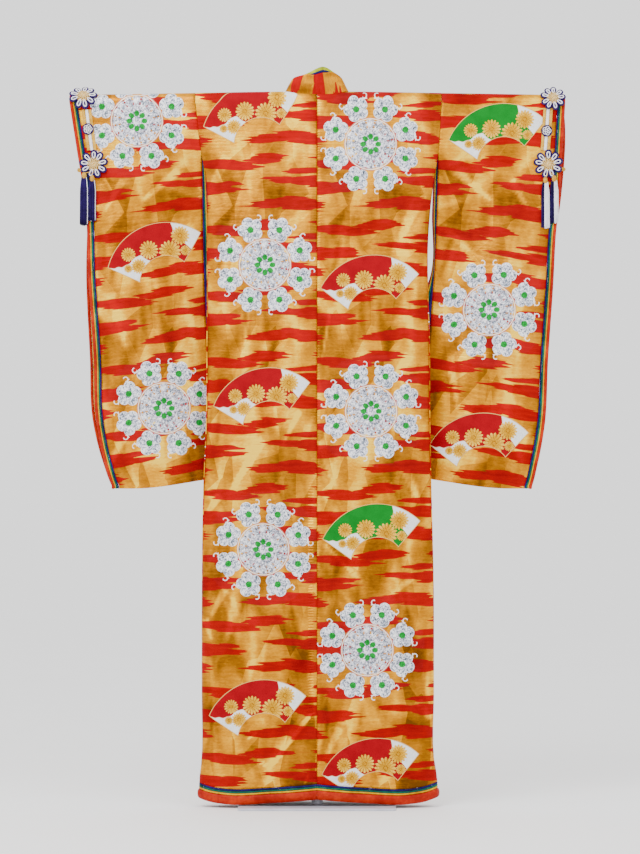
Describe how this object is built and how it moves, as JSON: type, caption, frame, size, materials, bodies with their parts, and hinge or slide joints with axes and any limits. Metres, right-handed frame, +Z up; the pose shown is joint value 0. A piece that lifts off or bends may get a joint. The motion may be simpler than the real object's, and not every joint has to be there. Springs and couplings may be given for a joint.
{
  "type": "kimono and stand",
  "caption": "Full-length gold and red wedding kimono with long open sleeves, padded hem and cord rosettes, hanging on a T-shaped floor stand with a flat base.",
  "frame": {"origin": "on the floor, at the middle of the underside of the stand's base", "axes": "+Z up, -Y out of the kimono's back, +Y out of its fronts, +X to the wearer's right"},
  "size_m": [1.2995, 0.22, 1.9366],
  "materials": {
    "gold_red_brocade": "gold lame brocade with red weft bands, fans and roundels, satin sheen",
    "layered_silk_edging": "smooth silk in stacked rolls: purple, green, yellow and orange-red",
    "white_silk_cord": "braided silk cord",
    "gold_silk_cord": "braided gold and white cord",
    "purple_silk_thread": "loose silk threads",
    "white_painted_steel": "smooth white powder coat"
  },
  "bodies": {
    "root": {"body_left": "gold_red_brocade", "body_right": "gold_red_brocade", "okumi_left": "gold_red_brocade", "okumi_right": "gold_red_brocade", "sleeve_left_back": "gold_red_brocade", "sleeve_left_front": "gold_red_brocade", "sleeve_right_back": "gold_red_brocade", "sleeve_right_front": "gold_red_brocade", "collar": "gold_red_brocade", "cuff_edging_left": "layered_silk_edging", "cuff_edging_right": "layered_silk_edging", "arm_edging_left": "layered_silk_edging", "arm_edging_right": "layered_silk_edging", "hem_edging_left": "layered_silk_edging", "hem_edging_right": "layered_silk_edging", "rosette_lower_left": "white_silk_cord", "rosette_lower_right": "white_silk_cord", "rosette_upper_left": "white_silk_cord", "rosette_upper_right": "white_silk_cord", "knot_left": "white_silk_cord", "knot_right": "white_silk_cord", "bead_left": "gold_silk_cord", "bead_right": "gold_silk_cord", "cord_left_1": "gold_silk_cord", "cord_left_2": "gold_silk_cord", "cord_left_3": "gold_silk_cord", "cord_right_1": "gold_silk_cord", "cord_right_2": "gold_silk_cord", "cord_right_3": "gold_silk_cord", "tassel_left_outer": "purple_silk_thread", "tassel_left_inner": "purple_silk_thread", "tassel_right_inner": "purple_silk_thread", "tassel_right_outer": "purple_silk_thread", "stand_base": "white_painted_steel", "stand_tee": "white_painted_steel"}
  },
  "joints": []
}
